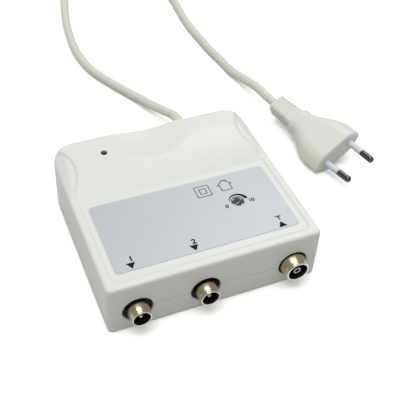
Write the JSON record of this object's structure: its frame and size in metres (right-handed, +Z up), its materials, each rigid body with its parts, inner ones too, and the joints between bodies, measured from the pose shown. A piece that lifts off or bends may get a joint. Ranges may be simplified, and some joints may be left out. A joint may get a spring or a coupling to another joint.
{
  "type": "tv signal amplifier",
  "caption": "Flat white aerial amplifier box with coaxial inlet and outlets, a screwdriver gain trimmer, a pilot lamp and a mains lead with a flat two-pin plug.",
  "frame": {"origin": "under the middle of the case, on the plane that it stands on", "axes": "+Z up, -Y out of the front wall with the connectors, +X to the right seen from the front"},
  "size_m": [0.1761, 0.3826, 0.0347],
  "materials": {
    "white_case": "fine satin moulding",
    "label_film": "silver-grey film, satin",
    "zinc_screw": "zinc plated",
    "green_board": "solder mask",
    "tinplate": "tinned",
    "nickel": "polished nickel",
    "black_insulator": "moulded",
    "trimmer_plastic": "moulded",
    "dark_rotor": "moulded, satin",
    "ferrite": "sintered",
    "green_lamp": "tinted, unlit",
    "spacer_plastic": "moulded",
    "winding_tape": "tape",
    "capacitor_sleeve": "shrunk sleeve",
    "film_case": "moulded",
    "resistor_body": "lacquered",
    "wire_sleeve": "vinyl",
    "lead_vinyl": "satin vinyl",
    "tie_wire": "coated",
    "plug_vinyl": "satin vinyl",
    "dark_nickel": "polished",
    "pin_sleeve": "moulded"
  },
  "bodies": {
    "amplifier": {"top_cover": "white_case", "base_tray": "white_case", "label_plate": "label_film", "case_screws": "zinc_screw", "circuit_board": "green_board", "board_screws": "zinc_screw", "shield_frame": "tinplate", "shield_lid": "tinplate", "tv1_shell": "nickel", "tv2_shell": "nickel", "ant_shell": "nickel", "tv1_insulator": "black_insulator", "tv2_insulator": "black_insulator", "ant_insulator": "black_insulator", "tv1_pin": "nickel", "tv2_pin": "nickel", "ant_contact": "nickel", "trimmer_body": "trimmer_plastic", "splitter_core": "ferrite", "led_lamp": "green_lamp", "led_spacer": "spacer_plastic", "transformer_core": "ferrite", "transformer_winding": "winding_tape", "supply_capacitors": "capacitor_sleeve", "film_capacitor": "film_case", "fuse_resistor": "resistor_body", "control_chip": "black_insulator", "supply_wires": "wire_sleeve", "cord_gland": "lead_vinyl", "cord_lead": "lead_vinyl", "cord_coil": "lead_vinyl", "cord_tail": "lead_vinyl", "coil_tie": "tie_wire", "plug_body": "plug_vinyl", "plug_pins": "dark_nickel", "pin_sleeves": "pin_sleeve"},
    "gain_spindle": {"gain_rotor": "dark_rotor"}
  },
  "joints": [
    {"name": "gain_turn", "type": "hinge", "parent": "amplifier", "child": "gain_spindle", "pos_m": [0.0245, -0.0158, 0.025], "axis": [0, 0, 1], "range_deg": [-135, 135]}
  ]
}
